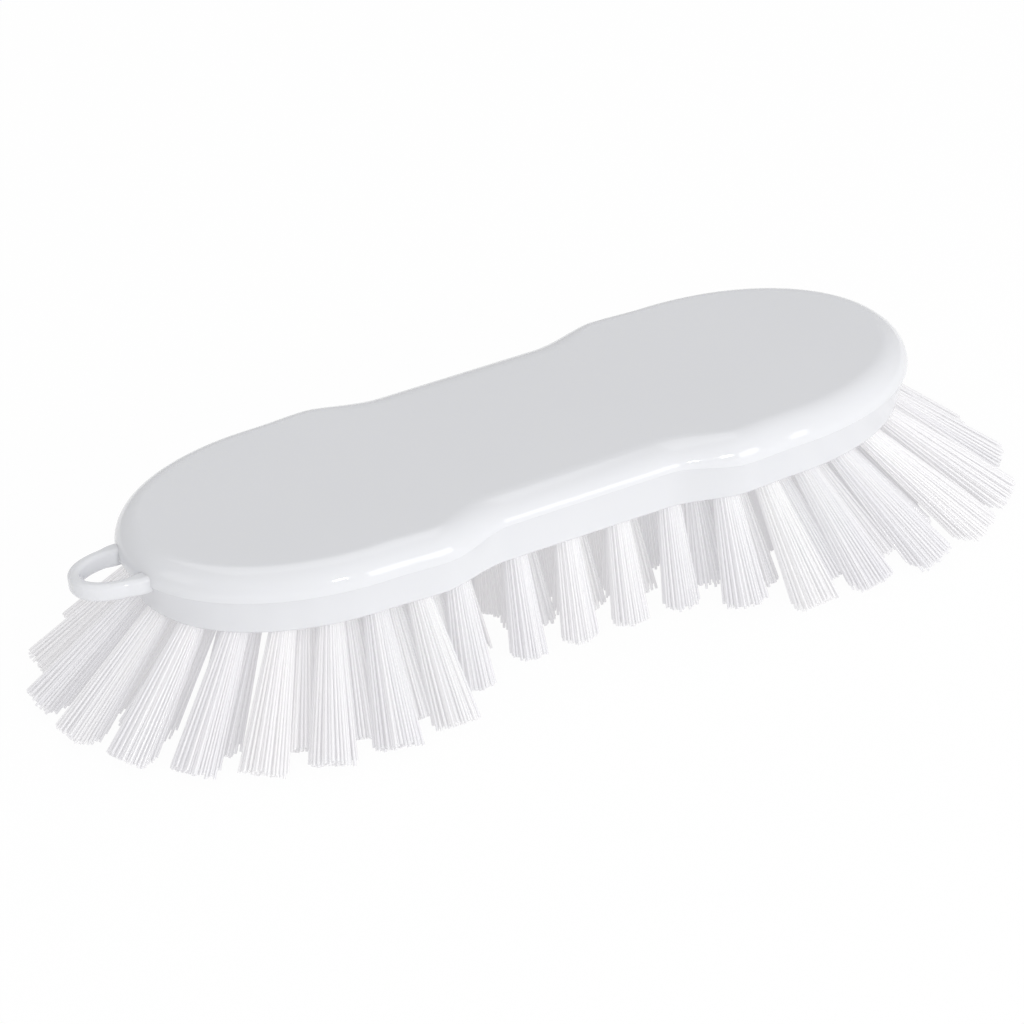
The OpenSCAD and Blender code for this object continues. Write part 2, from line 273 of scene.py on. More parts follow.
@dataclass(frozen=True)
class MouldedPlastic:
    """Glossy white moulded plastic with a faint orange peel and handling scuffs."""

    color: Color = (0.70, 0.706, 0.729, 1.0)
    shade: Color = (0.68, 0.687, 0.71, 1.0)
    cloud_size: float = 22.0
    cloud_detail: float = 3.0
    roughness_low: float = 0.07
    roughness_high: float = 0.12
    scuff_stretch: tuple[float, float, float] = (0.06, 1.0, 1.0)
    scuff_size: float = 900.0
    scuff_detail: float = 4.0
    scuff_low: float = 0.35
    scuff_high: float = 0.75
    peel_size: float = 260.0
    peel_detail: float = 2.0
    peel_strength: float = 0.35
    peel_depth: float = 0.02 * MM
    coat: float = 0.1
    coat_roughness: float = 0.08
    subsurface: float = 0.12
    subsurface_radius: tuple[float, float, float] = (4.0 * MM, 4.0 * MM, 4.5 * MM)

    def build(self) -> bpy.types.Material:
        """Builds the finish's nodes.

        Returns:
            The material.
        """
        material, tree, shader = new_material("moulded_plastic")
        place = tree.add("ShaderNodeTexCoord").outputs["Object"]
        cloud = tree.noise(place, self.cloud_size, self.cloud_detail)
        tree.link(tree.blend(cloud, self.color, self.shade), shader, "Base Color")
        long_way = tree.add("ShaderNodeMapping", {"Vector": place, "Scale": self.scuff_stretch})
        scuffs = tree.noise(long_way.outputs["Vector"], self.scuff_size, self.scuff_detail)
        gloss = tree.add(
            "ShaderNodeMapRange",
            {
                "Value": scuffs,
                "From Min": self.scuff_low,
                "From Max": self.scuff_high,
                "To Min": self.roughness_low,
                "To Max": self.roughness_high,
            },
        )
        tree.link(gloss.outputs["Result"], shader, "Roughness")
        peel = tree.noise(place, self.peel_size, self.peel_detail)
        tree.link(tree.bump(peel, self.peel_strength, self.peel_depth), shader, "Normal")
        shader.inputs["Coat Weight"].default_value = self.coat
        shader.inputs["Coat Roughness"].default_value = self.coat_roughness
        shader.inputs["Subsurface Weight"].default_value = self.subsurface
        shader.inputs["Subsurface Radius"].default_value = self.subsurface_radius
        shader.inputs["Subsurface Scale"].default_value = 1.0
        return material


@dataclass(frozen=True)
class ClearFilament:
    """Stiff translucent filament, a little milky, with a hue that changes from one to the next and
    a painted glow.
    """

    color: Color = (0.62, 0.615, 0.617, 1.0)
    dull: Color = (0.51, 0.508, 0.532, 1.0)
    painted_glow: Color = (0.294, 0.291, 0.295, 1.0)
    roughness: float = 0.16
    sheen: float = 0.4
    index: float = 1.53

    def build(self) -> bpy.types.Material:
        """Builds the finish's nodes.

        Returns:
            The material.
        """
        material, tree, shader = new_material("clear_filament")
        tone = tree.add("ShaderNodeAttribute", attribute_name=FilamentTree.TONE)
        tree.link(tree.blend(tone.outputs["Fac"], self.dull, self.color), shader, "Base Color")
        shader.inputs["Roughness"].default_value = self.roughness
        shader.inputs["IOR"].default_value = self.index
        shader.inputs["Sheen Weight"].default_value = self.sheen
        # Painted glow: an even emission that stands for the light that the real filaments pass on
        # to one another
        shader.inputs["Emission Color"].default_value = self.painted_glow
        shader.inputs["Emission Strength"].default_value = 1.0
        return material


@dataclass(frozen=True)
class DrawnWire:
    """Flat stainless wire with fine drawing marks."""

    color: Color = (0.62, 0.63, 0.65, 1.0)
    roughness: float = 0.32
    mark_size: float = 2400.0
    mark_detail: float = 2.0
    mark_strength: float = 0.3
    mark_depth: float = 0.01 * MM

    def build(self) -> bpy.types.Material:
        """Builds the finish's nodes.

        Returns:
            The material.
        """
        material, tree, shader = new_material("drawn_wire")
        place = tree.add("ShaderNodeTexCoord").outputs["Object"]
        marks = tree.noise(place, self.mark_size, self.mark_detail)
        tree.link(tree.bump(marks, self.mark_strength, self.mark_depth), shader, "Normal")
        shader.inputs["Base Color"].default_value = self.color
        shader.inputs["Metallic"].default_value = 1.0
        shader.inputs["Roughness"].default_value = self.roughness
        return material


@dataclass
class Tuft:
    """Where one tuft leaves the block, in metres."""

    mouth: Vector
    axis: Vector
    depth: float
    tip_radius: float


@dataclass
class TuftReader:
    """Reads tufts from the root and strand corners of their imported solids."""

    weld_gap: float = 1e-6
    top_slack: float = 1.0 * MM
    end_slack: float = 0.6 * MM
    mouth_slack: float = 0.6 * MM
    tip_slack: float = 0.3 * MM
    root_depth: float = 7.0 * MM
    strand_reach: float = 0.855

    def nodes(self, row: Row) -> list[str]:
        """Returns the names of the nodes that hold a row's tufts."""
        return sorted(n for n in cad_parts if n.startswith(row.value))

    def read(self, row: Row) -> list[Tuft]:
        """Returns every tuft of a row."""
        return [tuft for name in self.nodes(row) for tuft in self.read_node(name)]

    def read_node(self, name: str) -> list[Tuft]:
        """Finds the separate solids of a node and measures each.

        Args:
            name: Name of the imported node.

        Returns:
            One tuft for each solid.
        """
        work = bmesh.new()
        work.from_mesh(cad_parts[name].data)
        bmesh.ops.remove_doubles(work, verts=work.verts, dist=self.weld_gap)
        seen = set()
        found = []
        for first in work.verts:
            if first in seen:
                continue
            seen.add(first)
            island = []
            stack = [first]
            while stack:
                vert = stack.pop()
                island.append(np.array(vert.co))
                for edge in vert.link_edges:
                    other = edge.other_vert(vert)
                    if other not in seen:
                        seen.add(other)
                        stack.append(other)
            found.append(self.measure(np.array(island)))
        work.free()
        return found

    def measure(self, points: np.ndarray) -> Tuft:
        """Measures one tuft solid.

        Args:
            points: Its corners.

        Returns:
            The tuft.
        """
        tips = points[points[:, 2] < self.tip_slack]
        top = points[points[:, 2] > points[:, 2].max() - self.top_slack]
        guess = top.mean(axis=0) - tips.mean(axis=0)
        guess /= np.linalg.norm(guess)
        along = points @ guess
        end = points[along > along.max() - self.end_slack].mean(axis=0)
        below = end @ guess - along
        mouth = points[abs(below - self.root_depth) < self.mouth_slack].mean(axis=0)
        axis = (end - mouth) / np.linalg.norm(end - mouth)
        away = tips - mouth
        away -= np.outer(away @ axis, axis)
        reach = np.linalg.norm(away, axis=1).max() / self.strand_reach
        return Tuft(Vector(mouth), Vector(axis), self.root_depth, float(reach))


@dataclass
class Block:
    """The moulded block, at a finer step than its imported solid."""

    wing_width: float = 72.8 * MM
    waist_width: float = 65.7 * MM
    waist_length: float = 39.0 * MM
    shoulder_span: float = 74.0 * MM
    end_length: float = 45.0 * MM
    end_fullness: float = 2.07
    parting_height: float = 8.8 * MM
    grip_rise: float = 1.3 * MM
    parting_step: float = 0.2 * MM
    parting_round: float = 0.06 * MM
    underside_inset: float = 2.7 * MM
    lower_round: float = 0.8 * MM
    top_round: float = 5.8 * MM
    grip_round: float = 7.6 * MM
    shell_margin: float = 0.3 * MM
    top_border: float = 0.5 * MM
    flank_steps: int = 76
    end_steps: int = 54
    fillet_steps: int = 18
    lower_steps: int = 5
    hole_diameter: float = 5.4 * MM
    hole_sides: int = 36
    hole_run_out: float = 5.0 * MM
    crease: float = 32.0
    low: Vector = field(default_factory=lambda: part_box("block")[0])
    high: Vector = field(default_factory=lambda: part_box("block")[1])

    @property
    def tip(self) -> float:
        """Distance from the middle to the rounded end away from the loop."""
        return self.high.x

    @property
    def height(self) -> float:
        """Thickness of the block."""
        return self.high.z - self.low.z

    def grip_share(self, x: np.ndarray) -> np.ndarray:
        """Returns 1 through the waist and 0 on the wings."""
        shoulder, waist = self.shoulder_span / 2, self.waist_length / 2
        return 1.0 - smooth((abs(x) - waist) / (shoulder - waist))

    def quarter(self) -> np.ndarray:
        """Works out a quarter of the outline.

        Returns:
            Its points, from the middle of the waist to the tip of an end.
        """
        wing_x, shoulder_x = self.tip - self.end_length, self.shoulder_span / 2
        x = np.linspace(0.0, wing_x, self.flank_steps, endpoint=False)
        wing, shoulder, waist = self.wing_width / 2, self.high.y, self.waist_width / 2
        inner = mix(shoulder, waist, self.grip_share(x))
        outer = mix(shoulder, wing, smooth((abs(x) - shoulder_x) / (wing_x - shoulder_x)))
        flank = np.column_stack([x, np.where(abs(x) < shoulder_x, inner, outer)])
        turn = np.radians(np.linspace(90.0, 0.0, self.end_steps + 1))
        power = 2.0 / self.end_fullness
        along = abs(np.cos(turn)) ** power
        out = abs(np.sin(turn)) ** power
        end = np.column_stack([wing_x + self.end_length * along, wing * out])
        # The power leaves a trace of the angle's rounding at both ends
        end[0, 0], end[-1, 1] = wing_x, 0.0
        return np.vstack([flank, end])

    def outline(self) -> tuple[np.ndarray, np.ndarray]:
        """Works out the whole outline.

        Returns:
            Its points and their outward directions.
        """
        q = self.quarter()
        back = q[:0:-1]
        points = np.vstack(
            [q[:-1] * (1, -1), back * (1, 1), q[:-1] * (-1, 1), back * (-1, -1)]
        )
        step = np.roll(points, -1, axis=0) - np.roll(points, 1, axis=0)
        normals = np.column_stack([step[:, 1], -step[:, 0]])
        return points, normals / np.linalg.norm(normals, axis=1)[:, None]

    def section(self, x: np.ndarray) -> tuple[np.ndarray, np.ndarray]:
        """Works out the section all round the outline.

        Args:
            x: Place of each outline point along the block.

        Returns:
            Inset and height over the underside, a row for each ring.
        """
        grip = self.grip_share(x)
        parting = self.parting_height + self.grip_rise * grip
        round_w = mix(self.top_round, self.grip_round, grip)
        round_h = np.minimum(self.top_round, self.height - parting - self.shell_margin)
        level = np.zeros_like(x)
        rings = []
        for a in np.linspace(0.0, math.pi / 2, self.lower_steps + 1):
            inset = self.underside_inset + self.lower_round * (1 - math.sin(a))
            rings.append((level + inset, level + self.lower_round * (1 - math.cos(a))))
        rings.append((level + self.parting_step, parting - self.parting_round))
        rings.append((level + self.parting_step - self.parting_round / 2, parting))
        rings.append((level + self.parting_round, parting))
        rings.append((level, parting + self.parting_round))
        for a in np.linspace(0.0, math.pi / 2, self.fillet_steps + 1):
            inset = round_w * (1 - math.cos(a))
            rings.append((inset, self.height - round_h * (1 - math.sin(a))))
        rings.append((round_w + self.top_border, level + self.height))
        return np.array([r[0] for r in rings]), np.array([r[1] for r in rings])

    def shell(self) -> bpy.types.Mesh:
        """Builds the outer skin, without the tuft holes.

        Returns:
            The closed skin.
        """
        points, normals = self.outline()
        inset, height = self.section(points[:, 0])
        around = len(points)
        rings = [
            np.column_stack([points - normals * inset[r][:, None], self.low.z + height[r]])
            for r in range(len(inset))
        ]
        faces = ring_faces(len(rings), around)
        faces.append(tuple(range(around - 1, -1, -1)))
        faces.append(tuple((len(rings) - 1) * around + i for i in range(around)))
        return mesh_from("block_moulding", np.vstack(rings), faces)

    def hole_cutter(self, tufts: list[Tuft]) -> bpy.types.Mesh:
        """Builds the cutter of the tuft holes.

        Args:
            tufts: Every tuft, which gives the holes.

        Returns:
            One mesh with a closed cylinder for each hole.
        """
        points: list[np.ndarray] = []
        faces: list[tuple[int, ...]] = []
        turns = np.linspace(0.0, 2 * math.pi, self.hole_sides, endpoint=False)
        for tuft in tufts:
            side = tuft.axis.cross(Vector(CROSSWAYS)).normalized()
            across = tuft.axis.cross(side)
            rim = np.outer(np.cos(turns), side) + np.outer(np.sin(turns), across)
            n = self.hole_sides
            first = len(points) * n
            for reach in (-self.hole_run_out, tuft.depth):
                middle = np.array(tuft.mouth + tuft.axis * reach)
                points.append(middle + rim * self.hole_diameter / 2)
            faces += [tuple(first + i for i in f) for f in ring_faces(2, n)]
            faces += [tuple(range(first, first + n)), tuple(range(first + n, first + 2 * n))]
        return mesh_from("hole_cutter", np.vstack(points), faces)

    def build(self, tufts: list[Tuft], finish: bpy.types.Material) -> bpy.types.Object:
        """Builds the block with its tuft holes.

        Args:
            tufts: Every tuft, which gives the holes.
            finish: Material of the moulding.

        Returns:
            The finished piece.
        """
        piece = link_mesh("block_moulding", self.shell())
        cutter = link_mesh("hole_cutter", self.hole_cutter(tufts))
        cut = piece.modifiers.new("holes", "BOOLEAN")
        cut.object = cutter
        cut.operation = "DIFFERENCE"
        cut.solver = "EXACT"
        baked(piece)
        bpy.data.objects.remove(cutter)
        crisp(piece.data, self.crease)
        piece.data.materials.clear()
        piece.data.materials.append(finish)
        return piece


@dataclass
class HangingLoop:
    """The loop that grows out of one end of the block."""

    width: float = 17.6 * MM
    bar_width: float = 2.7 * MM
    bar_height: float = 4.0 * MM
    edge_round: float = 1.0 * MM
    rise: float = 0.4 * MM
    flare: float = 1.2 * MM
    flare_length: float = 3.0 * MM
    fullness: float = 2.2
    rooted: float = 5.0 * MM
    bend_steps: int = 72
    leg_steps: int = 10
    corner_steps: int = 7
    crease: float = 50.0

    def path(self, block: Block) -> np.ndarray:
        """Works out the loop's middle line.

        Args:
            block: The block that it grows out of.

        Returns:
            Its points, from inside the block round the bend and back.
        """
        reach = -block.low.x - block.tip - self.bar_width / 2
        leg = (self.width - self.bar_width) / 2
        turn = np.radians(np.linspace(-90.0, 90.0, self.bend_steps + 1))
        power = 2.0 / self.fullness
        bend = np.column_stack(
            [
                -block.tip - reach * abs(np.cos(turn)) ** power,
                leg * np.sign(turn) * abs(np.sin(turn)) ** power,
            ]
        )
        start = np.linspace(self.rooted, 0.0, self.leg_steps, endpoint=False) - block.tip
        near = np.column_stack([start, np.full_like(start, -leg)])
        return np.vstack([near, bend, (near * (1, -1))[::-1]])

    def profile(self, width: float) -> np.ndarray:
        """Works out the rounded bar section.

        Args:
            width: Width of the bar.

        Returns:
            The points round it.
        """
        middle = (width / 2 - self.edge_round, self.bar_height / 2 - self.edge_round)
        corners = []
        for quarter, way in enumerate(((1, 1), (-1, 1), (-1, -1), (1, -1))):
            turn = np.radians(90.0 * quarter + np.linspace(0.0, 90.0, self.corner_steps))
            bend = self.edge_round * np.column_stack([np.cos(turn), np.sin(turn)])
            corners.append(np.multiply(way, middle) + bend)
        return np.vstack(corners)

    def build(self, block: Block, finish: bpy.types.Material) -> bpy.types.Object:
        """Builds the loop.

        Args:
            block: The block that it grows out of.
            finish: Material of the moulding.

        Returns:
            The finished piece.
        """
        path = self.path(block)
        middle = block.low.z + block.parting_height + self.rise
        step = np.gradient(path, axis=0)
        side = np.column_stack([-step[:, 1], step[:, 0]])
        side /= np.linalg.norm(side, axis=1)[:, None]
        rings = []
        for point, out in zip(path, side):
            near = 1.0 - max(0.0, -block.tip - point[0]) / self.flare_length
            q = self.profile(self.bar_width + self.flare * float(smooth(near)))
            xy = point + np.outer(q[:, 0], out)
            rings.append(np.column_stack([xy, middle + q[:, 1]]))
        around = len(rings[0])
        faces = ring_faces(len(rings), around)
        faces.append(tuple(range(around)))
        faces.append(tuple((len(rings) - 1) * around + i for i in range(around)))
        piece = link_mesh("hanging_loop", mesh_from("hanging_loop", np.vstack(rings), faces))
        crisp(piece.data, self.crease)
        piece.data.materials.append(finish)
        return piece


class FilamentTree:
    """Geometry nodes that grow the filaments of every tuft from a point at its mouth."""

    VECTOR = "FLOAT_VECTOR"
    NUMBER = "FLOAT"
    AXIS = "tuft_axis"
    REACH = "tuft_reach"
    TUFT_TONE = "tuft_tone"
    TONE = "tone"
    ENDS = ("start", "root", "tip", "bow")
    SPARES = ENDS + (AXIS, REACH, TUFT_TONE)
    DULL_TONES = (0.0, 0.4)
    BRIGHT_TONES = (0.6, 1.0)
    GOLDEN_ANGLE = math.pi * (3.0 - math.sqrt(5.0))
    INPUTS = {
        "Filaments": ("NodeSocketInt", 116),
        "Filament Radius": ("NodeSocketFloat", 0.32 * MM),
        "Root Radius": ("NodeSocketFloat", 2.4 * MM),
        "Root Depth": ("NodeSocketFloat", 3.0 * MM),
        "Stray": ("NodeSocketFloat", 0.03),
        "Bow": ("NodeSocketFloat", 0.08 * MM),
        "Trim Low": ("NodeSocketFloat", 0.25 * MM),
        "Trim High": ("NodeSocketFloat", 1.3 * MM),
        "Seed": ("NodeSocketInt", 7),
    }

    def __init__(self, finish: bpy.types.Material, points_along: int = 5, sides: int = 4) -> None:
        """Builds the tree.

        Args:
            finish: Material of the filaments.
            points_along: Points along each filament.
            sides: Sides of each filament.
        """
        self.group = bpy.data.node_groups.new("filament_tufts", "GeometryNodeTree")
        self.nodes = NodeTree(self.group)
        face = self.group.interface
        face.new_socket("Geometry", in_out="INPUT", socket_type="NodeSocketGeometry")
        face.new_socket("Geometry", in_out="OUTPUT", socket_type="NodeSocketGeometry")
        self.sockets = {}
        for name, (kind, value) in self.INPUTS.items():
            socket = face.new_socket(name, in_out="INPUT", socket_type=kind)
            socket.default_value = value
            self.sockets[name] = socket.identifier
        self.given = self.nodes.add("NodeGroupInput").outputs
        laid = self.bend(self.plan(), points_along)
        skin = self.skin(laid, sides)
        dressed = self.nodes.add("GeometryNodeSetMaterial", {"Geometry": skin, "Material": finish})
        self.nodes.add("NodeGroupOutput", {"Geometry": dressed.outputs[0]})

    def random(self, low: object, high: object, draw: Draw) -> bpy.types.NodeSocket:
        """Draws a random number for each filament.

        Args:
            low: Lowest number.
            high: Highest number.
            draw: Which draw it is.

        Returns:
            The number.
        """
        seed = self.nodes.math("ADD", self.given["Seed"], float(draw))
        inputs = {2: low, 3: high, "Seed": seed}
        return self.nodes.add("FunctionNodeRandomValue", inputs, data_type=self.NUMBER).outputs[1]

    def named(self, name: str, kind: str) -> bpy.types.NodeSocket:
        """Returns an attribute of the tuft that the filament belongs to."""
        node = self.nodes.add("GeometryNodeInputNamedAttribute", {"Name": name}, data_type=kind)
        return node.outputs[0]

    def height(self, vector: bpy.types.NodeSocket) -> bpy.types.NodeSocket:
        """Returns the Z part of a vector."""
        return self.nodes.add("ShaderNodeSeparateXYZ", {0: vector}).outputs["Z"]

    def store(
        self, geometry: bpy.types.NodeSocket, name: str, value: bpy.types.NodeSocket, kind: str
    ) -> bpy.types.NodeSocket:
        """Keeps a value on the points of a geometry.

        Args:
            geometry: The geometry.
            name: Name of the attribute.
            value: Its value at each point.
            kind: Its data type.

        Returns:
            The geometry with the attribute.
        """
        node = self.nodes.add(
            "GeometryNodeStoreNamedAttribute",
            {"Geometry": geometry, "Name": name, "Value": value},
            data_type=kind,
            domain="POINT",
        )
        return node.outputs[0]

    def plan(self) -> bpy.types.NodeSocket:
        """Plans where each filament runs.

        Returns:
            A point for each filament, which holds its ends, its bow and its tone.
        """
        n = self.nodes
        copies = n.add(
            "GeometryNodeDuplicateElements",
            {"Geometry": self.given["Geometry"], "Amount": self.given["Filaments"]},
            domain="POINT",
        )
        index = copies.outputs["Duplicate Index"]
        axis = self.named(self.AXIS, self.VECTOR)
        reach = self.named(self.REACH, self.NUMBER)
        side = n.vector("NORMALIZE", n.vector("CROSS_PRODUCT", axis, CROSSWAYS))
        across = n.vector("CROSS_PRODUCT", axis, side)

        def on_section(a: object, b: object) -> bpy.types.NodeSocket:
            """Returns a vector across the tuft."""
            return n.vector("ADD", n.scale(side, a), n.scale(across, b))

        def jitter(name: str, first: Draw, second: Draw) -> bpy.types.NodeSocket:
            """Returns a random vector across the tuft, of up to a given size each way."""
            low = n.math("MULTIPLY", self.given[name], -1.0)
            return on_section(*(self.random(low, self.given[name], d) for d in (first, second)))

        # Even spacing over the round section, ring by ring from its middle
        rho = n.math("SQRT", n.math("DIVIDE", n.math("ADD", index, 0.5), self.given["Filaments"]))
        turn = n.math("MULTIPLY", index, self.GOLDEN_ANGLE)
        spot = on_section(
            n.math("MULTIPLY", rho, n.math("COSINE", turn)),
            n.math("MULTIPLY", rho, n.math("SINE", turn)),
        )
        stray = jitter("Stray", Draw.STRAY_SIDE, Draw.STRAY_ACROSS)

        mouth = n.add("GeometryNodeInputPosition").outputs[0]
        at_mouth = n.scale(spot, self.given["Root Radius"])
        root = n.vector("ADD", mouth, at_mouth)
        start = n.vector("ADD", root, n.scale(axis, self.given["Root Depth"]))
        run = n.math("DIVIDE", self.height(mouth), self.height(axis))
        spread = n.vector("SUBTRACT", n.scale(n.vector("ADD", spot, stray), reach), at_mouth)
        way = n.vector("SUBTRACT", n.scale(spread, n.math("DIVIDE", 1.0, run)), axis)
        trim = self.random(self.given["Trim Low"], self.given["Trim High"], Draw.TRIM)
        level = n.math("DIVIDE", n.math("SUBTRACT", trim, self.height(root)), self.height(way))
        # A leaning tuft is trimmed square on its far side, and level with the floor on its near
        length = n.math("MINIMUM", level, n.math("SUBTRACT", run, trim))
        tip = n.vector("ADD", root, n.scale(way, length))
        bow = jitter("Bow", Draw.BOW_SIDE, Draw.BOW_ACROSS)

        points = copies.outputs["Geometry"]
        for name, value in zip(self.ENDS, (start, root, tip, bow)):
            points = self.store(points, name, value, self.VECTOR)
        tone = n.add(
            "ShaderNodeMapRange",
            {
                "Value": self.named(self.TUFT_TONE, self.NUMBER),
                "To Min": self.random(*self.DULL_TONES, Draw.TONE),
                "To Max": self.random(*self.BRIGHT_TONES, Draw.TONE),
            },
        )
        return self.store(points, self.TONE, tone.outputs["Result"], self.NUMBER)

    def bend(self, points: bpy.types.NodeSocket, points_along: int) -> bpy.types.NodeSocket:
        """Lays a curve along each filament.

        Args:
            points: The planned points, one for each filament.
            points_along: Points along each curve.

        Returns:
            The curves, from inside the block to the tips.
        """
        n = self.nodes
        line = n.add("GeometryNodeCurvePrimitiveLine")
        line = n.add("GeometryNodeResampleCurve", {"Curve": line.outputs[0], "Count": points_along})
        strands = n.add(
            "GeometryNodeInstanceOnPoints", {"Points": points, "Instance": line.outputs[0]}
        )
        strands = n.add("GeometryNodeRealizeInstances", {"Geometry": strands.outputs[0]})
        along = n.add("GeometryNodeSplineParameter").outputs["Factor"]
        # The first stretch is inside the hole, and the others run below the mouth
        first = 1.0 / (points_along - 1)
        below = n.add(
            "ShaderNodeMapRange", {"Value": along, "From Min": first, "From Max": 1.0}
        ).outputs["Result"]
        above = n.math("SUBTRACT", 1.0, below)
        inside = n.math("LESS_THAN", along, first / 2)
        start, root, tip, bow = (self.named(name, self.VECTOR) for name in self.ENDS)
        straight = n.vector("ADD", n.scale(root, above), n.scale(tip, below))
        swell = n.math("MULTIPLY", n.math("MULTIPLY", below, above), 4.0)
        bent = n.vector("ADD", straight, n.scale(bow, swell))
        outside = n.math("SUBTRACT", 1.0, inside)
        place = n.vector("ADD", n.scale(bent, outside), n.scale(start, inside))
        laid = n.add("GeometryNodeSetPosition", {"Geometry": strands.outputs[0], "Position": place})
        return laid.outputs[0]

    def skin(self, curves: bpy.types.NodeSocket, sides: int) -> bpy.types.NodeSocket:
        """Covers each curve with a closed tube.

        Args:
            curves: The curves.
            sides: Sides of each tube.

        Returns:
            The tubes.
        """
        profile = self.nodes.add(
            "GeometryNodeCurvePrimitiveCircle",
            {"Resolution": sides, "Radius": self.given["Filament Radius"]},
            mode="RADIUS",
        )
        tubes = self.nodes.add(
            "GeometryNodeCurveToMesh",
            {"Curve": curves, "Profile Curve": profile.outputs[0], "Fill Caps": True},
        )
        return tubes.outputs[0]


@dataclass
class TuftRow:
    """All filaments of one row of tufts."""

    row: Row
    name: str
    flare: float
    seed: int
    filaments: int = 116

    def build(self, reader: TuftReader, tree: FilamentTree) -> bpy.types.Object:
        """Grows the filaments.

        Args:
            reader: Source of the tufts' places.
            tree: Geometry nodes that grow them.

        Returns:
            The finished piece, as a plain mesh.
        """
        tufts = reader.read(self.row)
        mesh = bpy.data.meshes.new(self.name)
        mesh.from_pydata([tuple(t.mouth) for t in tufts], [], [])
        tones = np.random.default_rng(self.seed).random(len(tufts))
        for name, kind, key, values in (
            (tree.AXIS, tree.VECTOR, "vector", [t.axis for t in tufts]),
            (tree.REACH, tree.NUMBER, "value", [t.tip_radius * self.flare for t in tufts]),
            (tree.TUFT_TONE, tree.NUMBER, "value", tones),
        ):
            data = mesh.attributes.new(name, kind, "POINT").data
            data.foreach_set(key, np.array(values, np.float32).ravel())
        piece = link_mesh(self.name, mesh)
        grow = piece.modifiers.new("filaments", "NODES")
        grow.node_group = tree.group
        grow[tree.sockets["Filaments"]] = self.filaments
        grow[tree.sockets["Seed"]] = self.seed
        baked(piece)
        piece.data.shade_smooth()
        for name in tree.SPARES:
            found = piece.data.attributes.get(name)
            if found is not None:
                piece.data.attributes.remove(found)
        LOG.info("%s: %d tufts, %d faces", self.name, len(tufts), len(piece.data.polygons))
        return piece


@dataclass
class Lamp:
    """A soft square lamp that looks at the brush, and shows as a reflection if mirrored."""

    name: str
    place: tuple[float, float, float]
    size: float
    power: float
    aim: tuple[float, float, float] = (0.0, 0.0, 0.02)
    mirrored: bool = True

    def build(self) -> bpy.types.Object:
        """Hangs the lamp in its place.

        Returns:
            The lamp.
        """
        light = bpy.data.lights.new(self.name, "AREA")
        light.shape = "SQUARE"
        light.size = self.size
        light.energy = self.power
        lamp = bpy.data.objects.new(self.name, light)
        bpy.context.scene.collection.objects.link(lamp)
        lamp.visible_glossy = self.mirrored
        back = Vector(self.place) - Vector(self.aim)
        turn = back.to_track_quat("Z", "Y").to_matrix().to_4x4()
        lamp.matrix_world = Matrix.Translation(self.place) @ turn
        return lamp


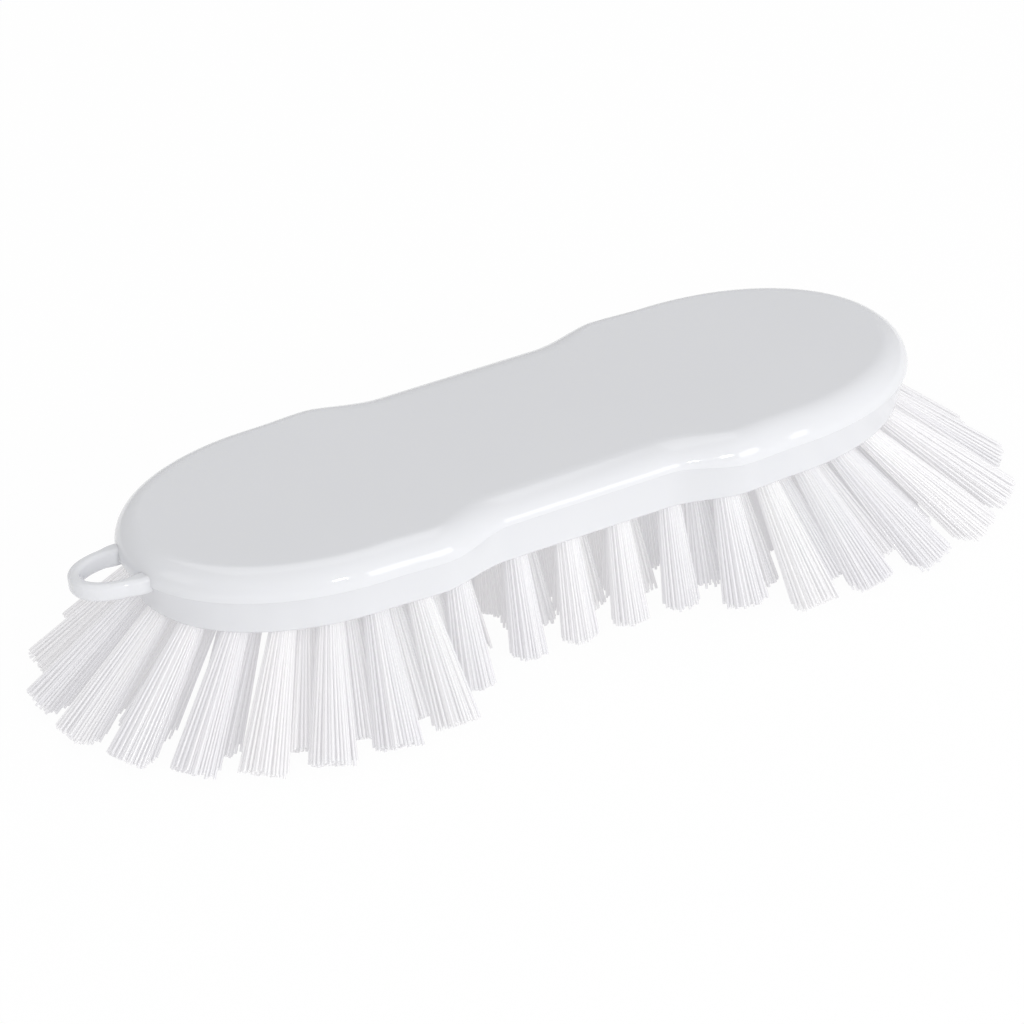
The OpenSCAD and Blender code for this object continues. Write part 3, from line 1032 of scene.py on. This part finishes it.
@dataclass
class Studio:
    """Camera, floor, lamps and background."""

    azimuth: float = -25.55
    elevation: float = 28.57
    roll: float = -4.995
    distance: float = 0.9486
    aim: tuple[float, float, float] = (0.0, 0.0, 0.026)
    focal_px: float = 4271.07
    picture_px: float = 1024.0
    aim_px: tuple[float, float] = (523.79, 480.63)
    sensor_width: float = 36.0
    clip_start: float = 0.01
    floor_size: float = 6.0
    floor_tone: float = 0.95
    floor_glow: float = 0.95
    floor_roughness: float = 0.9
    floor_specular: float = 0.1
    ambient: float = 0.62

    def camera(self) -> bpy.types.Object:
        """Sets the camera at the photograph's angle.

        Returns:
            The camera.
        """
        a, e, roll = (math.radians(v) for v in (self.azimuth, self.elevation, self.roll))
        back = Vector((math.sin(a) * math.cos(e), -math.cos(a) * math.cos(e), math.sin(e)))
        right = Vector((math.cos(a), math.sin(a), 0.0))
        up = back.cross(right)
        turned_right = right * math.cos(roll) + up * math.sin(roll)
        turned_up = up * math.cos(roll) - right * math.sin(roll)
        lens = bpy.data.cameras.new("camera")
        lens.sensor_width = self.sensor_width
        lens.lens = lens.sensor_width * self.focal_px / self.picture_px
        lens.shift_x = (0.5 * self.picture_px - self.aim_px[0]) / self.picture_px
        lens.shift_y = (self.aim_px[1] - 0.5 * self.picture_px) / self.picture_px
        lens.clip_start = self.clip_start
        camera = bpy.data.objects.new("camera", lens)
        place = Vector(self.aim) + back * self.distance
        turn = Matrix((turned_right, turned_up, back)).transposed().to_4x4()
        camera.matrix_world = Matrix.Translation(place) @ turn
        bpy.context.scene.collection.objects.link(camera)
        bpy.context.scene.camera = camera
        return camera

    def floor(self) -> bpy.types.Object:
        """Lays the pale floor, white to the camera but for the brush's soft shadow.

        Returns:
            The floor.
        """
        half = self.floor_size / 2
        corners = [(x * half, y * half, 0.0) for x, y in ((-1, -1), (1, -1), (1, 1), (-1, 1))]
        mesh = bpy.data.meshes.new("floor")
        mesh.from_pydata(corners, [], [(0, 1, 2, 3)])
        material, tree, shader = new_material("floor")
        shader.inputs["Base Color"].default_value = (self.floor_tone,) * 3 + (1.0,)
        shader.inputs["Roughness"].default_value = self.floor_roughness
        shader.inputs["Specular IOR Level"].default_value = self.floor_specular
        ray = tree.add("ShaderNodeLightPath").outputs
        seen = tree.math("MAXIMUM", ray["Is Camera Ray"], ray["Is Glossy Ray"])
        seen = tree.math("MAXIMUM", seen, ray["Is Transmission Ray"])
        glow = tree.add("ShaderNodeEmission", {"Color": WHITE, "Strength": 1.0}).outputs[0]
        share = tree.math("MULTIPLY", seen, self.floor_glow)
        mixed = tree.add("ShaderNodeMixShader", {0: share, 1: shader.outputs[0], 2: glow})
        output = material.node_tree.nodes["Material Output"]
        tree.link(mixed.outputs[0], output, "Surface")
        mesh.materials.append(material)
        piece = link_mesh("floor", mesh)
        return piece

    def world(self) -> None:
        """Makes the world white to the camera and an even soft light for the brush."""
        world = bpy.data.worlds.new("studio")
        bpy.context.scene.world = world
        world.use_nodes = True
        tree = NodeTree(world.node_tree)
        background = world.node_tree.nodes["Background"]
        background.inputs["Color"].default_value = WHITE
        ray = tree.add("ShaderNodeLightPath").outputs
        strength = tree.add(
            "ShaderNodeMapRange",
            {"Value": ray["Is Camera Ray"], "To Min": self.ambient, "To Max": 1.0},
        )
        tree.link(strength.outputs["Result"], background, "Strength")

    def lamps(self) -> list[bpy.types.Object]:
        """Hangs the lamps: key, glint and fill at the front, one at each side, one above.

        Returns:
            The lamps.
        """
        lamps = (
            Lamp("front_key", (-0.5, -1.22, 0.66), 1.4, 6.9, mirrored=False),
            Lamp("glint", (-0.05, -1.25, 0.5), 0.12, 1.8),
            Lamp("low_fill", (0.45, -1.2, 0.28), 0.5, 2.5),
            Lamp("side_window", (-1.3, 0.2, 0.8), 0.7, 1.0),
            Lamp("right_strip", (1.2, -0.6, 0.35), 0.9, 4.0, mirrored=False),
            Lamp("top_soft", (0.1, 0.5, 1.4), 1.0, 3.0),
        )
        return [lamp.build() for lamp in lamps]


def seat(piece: bpy.types.Object, nodes: list[str]) -> None:
    """Ties a finished piece to its body and the nodes it stands for.

    Args:
        piece: The finished piece.
        nodes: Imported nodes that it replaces, or none.
    """
    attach(piece, BODY)
    if nodes:
        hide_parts(*nodes)
    LOG.info("%s stands for %s", piece.name, ", ".join(nodes) or "nothing packed")


def dress_node(name: str, finish: bpy.types.Material) -> None:
    """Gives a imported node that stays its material.

    Args:
        name: Name of the node.
        finish: The material.
    """
    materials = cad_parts[name].data.materials
    materials.clear()
    materials.append(finish)
    LOG.info("%s keeps its packed shape", name)


def main() -> None:
    """Builds the studio and every piece in order."""
    logging.basicConfig(level=logging.INFO, format="%(message)s")
    bpy.context.scene.view_settings.view_transform = "Standard"
    studio = Studio()
    studio.camera()
    studio.floor()
    studio.world()
    studio.lamps()

    reader = TuftReader()
    tufts = [t for row in Row for t in reader.read(row)]
    plastic = MouldedPlastic().build()
    block = Block()
    moulding = block.build(tufts, plastic)
    seat(moulding, ["block"])
    loop = HangingLoop().build(block, plastic)
    seat(loop, [])

    tree = FilamentTree(ClearFilament().build())
    rows = [
        TuftRow(Row.OUTER, "outer_row_filaments", flare=1.12, seed=11),
        TuftRow(Row.SECOND, "second_row_filaments", flare=1.75, seed=23),
        TuftRow(Row.INNER, "inner_row_filaments", flare=1.25, seed=37),
        TuftRow(Row.CENTRE, "centre_filaments", flare=1.25, seed=53),
    ]
    for row in rows:
        seat(row.build(reader, tree), reader.nodes(row.row))

    wire = DrawnWire().build()
    for name in sorted(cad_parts):
        if name.endswith("_anchors"):
            dress_node(name, wire)


if __name__ == "__main__":
    main()
